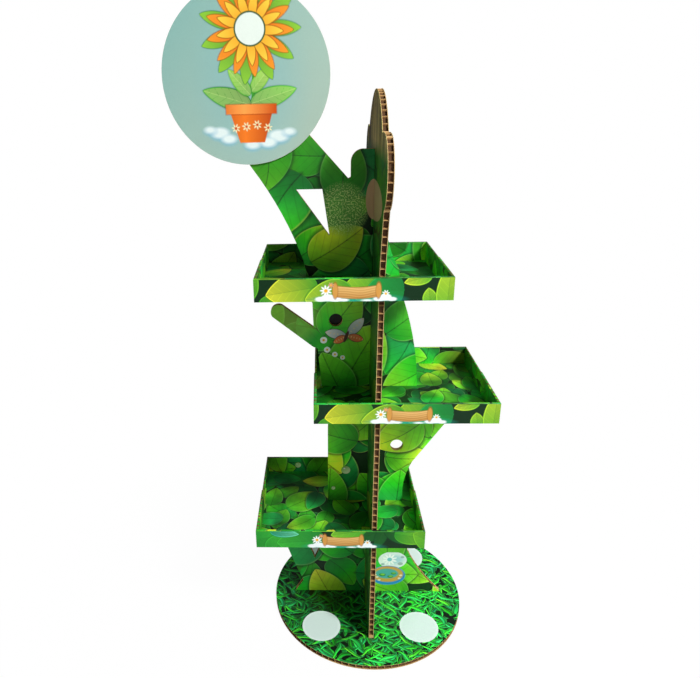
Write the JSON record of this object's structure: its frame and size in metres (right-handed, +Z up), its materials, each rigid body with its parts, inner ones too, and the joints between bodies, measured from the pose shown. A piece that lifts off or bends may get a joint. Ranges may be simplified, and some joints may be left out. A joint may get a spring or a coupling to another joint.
{
  "type": "cardboard display stand",
  "caption": "Free-standing cardboard display stand: crossing honeycomb boards on a round base carry open trays and a round sign, printed with leaves and grass.",
  "frame": {"origin": "centre of the base disc's underside, on the floor", "axes": "+Z up, +X to the right seen from the front, +Y from the front to the back; the sign and the tree board face -Y"},
  "size_m": [0.6835, 0.51, 1.486],
  "materials": {
    "grass_board": "honeycomb board, satin grass print on top, raw brown cut edge",
    "leaf_board": "honeycomb board, satin leaf print, raw brown cut edge",
    "leaf_tray": "corrugated board, satin leaf print",
    "sign_card": "corrugated board, satin print"
  },
  "bodies": {
    "root": {"base_disc": "grass_board", "spine_board": "leaf_board", "tree_board": "leaf_board", "top_tray": "leaf_tray", "middle_tray": "leaf_tray", "bottom_tray": "leaf_tray", "round_sign": "sign_card"}
  },
  "joints": []
}
